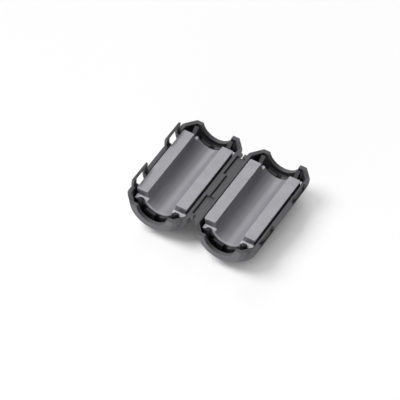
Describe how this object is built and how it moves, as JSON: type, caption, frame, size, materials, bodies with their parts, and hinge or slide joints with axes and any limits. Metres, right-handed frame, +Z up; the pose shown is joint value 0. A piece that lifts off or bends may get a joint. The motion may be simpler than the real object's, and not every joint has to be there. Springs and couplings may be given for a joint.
{
  "type": "clip-on ferrite bead",
  "caption": "Hinged round case holding a split ferrite core; it folds shut and snaps around a cable to damp high-frequency noise.",
  "frame": {"origin": "on the surface that the open bead lies on, below the middle of the fold line", "axes": "+Z up out of the open case, +Y along the cable, +X across the two halves towards the half with the catches"},
  "size_m": [0.0408, 0.036, 0.012],
  "materials": {
    "case": "black moulded nylon, satin outside and smoother inside",
    "ferrite": "grey sintered ferrite with ground mating faces and an as-fired bore"
  },
  "bodies": {
    "left_half": {"left_shell": "case", "left_core": "ferrite", "front_hinge_strap": "case", "rear_hinge_strap": "case"},
    "right_half": {"right_shell": "case", "right_core": "ferrite"}
  },
  "joints": [
    {"name": "case_hinge", "type": "hinge", "parent": "left_half", "child": "right_half", "pos_m": [0, 0, 0.00977], "axis": [0, -1, 0], "range_deg": [0, 180], "deforming": ["front_hinge_strap", "rear_hinge_strap"]}
  ]
}
